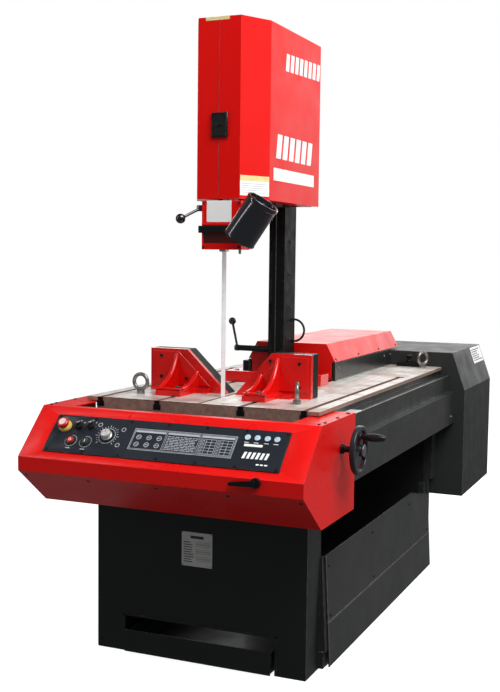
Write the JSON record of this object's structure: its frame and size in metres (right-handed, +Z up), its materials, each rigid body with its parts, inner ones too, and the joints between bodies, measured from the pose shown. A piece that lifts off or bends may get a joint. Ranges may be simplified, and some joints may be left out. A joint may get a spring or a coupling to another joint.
{
  "type": "vertical band saw",
  "caption": "Vertical band saw whose upright saw frame feeds along a slotted table bed and tilts to either side, with two angled vises and a sloped control console.",
  "frame": {"origin": "centre of the machine's footprint on the floor", "axes": "+Z up, +Y along the bed from the console to the rear housing, +X to the operator's right"},
  "size_m": [1.204, 2.618, 2.228],
  "materials": {
    "red_paint": "smooth gloss red paint",
    "dark_paint": "dark grey textured paint",
    "black_paint": "satin black paint",
    "panel_paint": "matt slate panel film",
    "table_steel": "ground and worn table surface",
    "steel": "machined steel",
    "chrome": "zinc plated",
    "black_plastic": "moulded black plastic",
    "red_plastic": "moulded red plastic",
    "yellow_plastic": "moulded yellow plastic",
    "grey_plastic": "moulded grey plastic",
    "pale_plastic": "pale moulded plastic",
    "rubber": "smooth black rubber"
  },
  "bodies": {
    "bed": {"bed_frame": "dark_paint", "base_cabinet": "dark_paint", "side_panels": "dark_paint", "guide_rails": "steel", "table_left": "table_steel", "table_right": "table_steel", "table_skirts": "dark_paint", "eye_bolts": "chrome", "rear_housing": "dark_paint", "console_housing": "red_paint", "control_panel": "panel_paint", "console_screws": "black_paint", "indicator_lamps": "pale_plastic", "estop_collar": "yellow_plastic", "gear_housing": "black_paint", "column_guard_bar": "red_paint"},
    "drawer": {"chip_drawer": "dark_paint"},
    "estop": {"estop_button": "red_plastic"},
    "stop_push": {"stop_button": "red_plastic"},
    "start_push": {"start_button": "grey_plastic"},
    "selector_l": {"selector_left": "black_plastic"},
    "selector_r": {"selector_right": "black_plastic"},
    "speed_dial": {"speed_knob": "steel"},
    "nose_lever": {"console_lever": "black_paint"},
    "handwheel_unit": {"handwheel": "black_paint", "handwheel_shaft": "steel"},
    "grip": {"handwheel_grip": "black_plastic"},
    "screw": {"feed_screw": "steel"},
    "vise_l": {"vise_body_left": "red_paint", "jaw_plate_left": "black_paint", "vise_bolts_left": "steel"},
    "vise_r": {"vise_body_right": "red_paint", "jaw_plate_right": "black_paint", "vise_bolts_right": "steel"},
    "carriage": {"carriage_beam": "black_paint", "rail_blocks": "steel", "feed_nut": "steel", "trunnion_housing": "black_paint", "trunnion_cover": "red_paint", "tilt_clamp_bar": "black_paint"},
    "tilt_lever": {"tilt_clamp_lever": "black_plastic"},
    "saw_frame": {"trunnion_shaft": "steel", "column": "black_paint", "head_frame": "black_paint", "head_shell": "red_paint", "upper_axle": "steel", "saw_blade": "steel", "lower_frame": "black_paint", "gear_motor": "black_paint", "hose": "rubber"},
    "upper_pulley": {"upper_wheel": "steel"},
    "lower_pulley": {"lower_wheel": "steel", "drive_shaft": "steel"},
    "guide": {"guide_post": "steel", "guide_block": "red_paint", "guide_inserts": "steel"},
    "guide_lever": {"guide_clamp_lever": "black_plastic"},
    "lamp": {"work_lamp": "black_plastic"},
    "door": {"head_door": "red_paint"},
    "latch": {"head_latch": "black_plastic"}
  },
  "joints": [
    {"name": "saw_feed", "type": "slide", "parent": "bed", "child": "carriage", "axis": [0, 1, 0], "range_m": [0, 0.44]},
    {"name": "saw_tilt", "type": "hinge", "parent": "carriage", "child": "saw_frame", "pos_m": [-0.056, -0.139, 0.91], "axis": [0, 1, 0], "range_deg": [-45, 45]},
    {"name": "guide_height", "type": "slide", "parent": "saw_frame", "child": "guide", "axis": [0, 0, 1], "range_m": [-0.195, 0]},
    {"name": "guide_lever_turn", "type": "hinge", "parent": "guide", "child": "guide_lever", "pos_m": [-0.131, -0.807, 1.577], "axis": [1, 0, 0], "range_deg": [-30, 40]},
    {"name": "lamp_swivel", "type": "hinge", "parent": "guide", "child": "lamp", "pos_m": [0.102, -0.827, 1.543], "axis": [0, 1, 0], "range_deg": [-30, 30]},
    {"name": "door_swing", "type": "hinge", "parent": "saw_frame", "child": "door", "pos_m": [0.074, -0.208, 1.9], "axis": [0, 0, 1], "range_deg": [0, 85]},
    {"name": "latch_swing", "type": "hinge", "parent": "door", "child": "latch", "pos_m": [-0.023, -0.8285, 1.861], "axis": [0, 0, 1], "range_deg": [0, 60], "stiffness_Nm_per_rad": 0.8},
    {"name": "lower_wheel_spin", "type": "hinge", "parent": "saw_frame", "child": "lower_pulley", "pos_m": [-0.056, -0.51, 0.53], "axis": [1, 0, 0], "continuous": true},
    {"name": "upper_wheel_spin", "type": "hinge", "parent": "saw_frame", "child": "upper_pulley", "pos_m": [-0.056, -0.51, 1.91], "axis": [1, 0, 0], "continuous": true},
    {"name": "tilt_lever_turn", "type": "hinge", "parent": "carriage", "child": "tilt_lever", "pos_m": [-0.292, -0.119, 1.03], "axis": [1, 0, 0], "range_deg": [-45, 0]},
    {"name": "handwheel_spin", "type": "hinge", "parent": "bed", "child": "handwheel_unit", "pos_m": [0.444, -0.947, 0.792], "axis": [1, 0, 0], "range_deg": [0, 3250]},
    {"name": "grip_spin", "type": "hinge", "parent": "handwheel_unit", "child": "grip", "pos_m": [0.544, -0.952, 0.837], "axis": [1, 0, 0], "continuous": true},
    {"name": "feed_screw_spin", "type": "hinge", "parent": "bed", "child": "screw", "pos_m": [0.409, -0.457, 0.752], "axis": [0, 1, 0], "range_deg": [0, 3250]},
    {"name": "vise_left_slide", "type": "slide", "parent": "bed", "child": "vise_l", "axis": [0, 1, 0], "range_m": [-0.06, 0.25]},
    {"name": "vise_right_slide", "type": "slide", "parent": "bed", "child": "vise_r", "axis": [0, 1, 0], "range_m": [-0.06, 0.25]},
    {"name": "drawer_slide", "type": "slide", "parent": "bed", "child": "drawer", "axis": [0, -1, 0], "range_m": [0, 0.45]},
    {"name": "estop_press", "type": "slide", "parent": "bed", "child": "estop", "axis": [0, 0.7094, -0.7048], "range_m": [0, 0.006]},
    {"name": "stop_press", "type": "slide", "parent": "bed", "child": "stop_push", "axis": [0, 0.7094, -0.7048], "range_m": [0, 0.004], "stiffness_N_per_m": 500},
    {"name": "start_press", "type": "slide", "parent": "bed", "child": "start_push", "axis": [0, 0.7094, -0.7048], "range_m": [0, 0.004], "stiffness_N_per_m": 500},
    {"name": "selector_left_turn", "type": "hinge", "parent": "bed", "child": "selector_l", "pos_m": [-0.384, -1.20107, 0.84471], "axis": [0, -0.7094, 0.7048], "range_deg": [-45, 45]},
    {"name": "selector_right_turn", "type": "hinge", "parent": "bed", "child": "selector_r", "pos_m": [-0.34, -1.19825, 0.84755], "axis": [0, -0.7094, 0.7048], "range_deg": [-45, 45]},
    {"name": "speed_turn", "type": "hinge", "parent": "bed", "child": "speed_dial", "pos_m": [-0.264, -1.22221, 0.82343], "axis": [0, -0.7094, 0.7048], "range_deg": [-135, 135]},
    {"name": "nose_lever_turn", "type": "hinge", "parent": "bed", "child": "nose_lever", "pos_m": [0.298, -1.297, 0.73], "axis": [0, 1, 0], "range_deg": [-30, 30]}
  ],
  "couplings": [
    {"joint": "handwheel_spin", "follows": "saw_feed", "rad_per_m": 125.66},
    {"joint": "feed_screw_spin", "follows": "saw_feed", "rad_per_m": 125.66},
    {"joint": "upper_wheel_spin", "follows": "lower_wheel_spin", "ratio": 1}
  ]
}
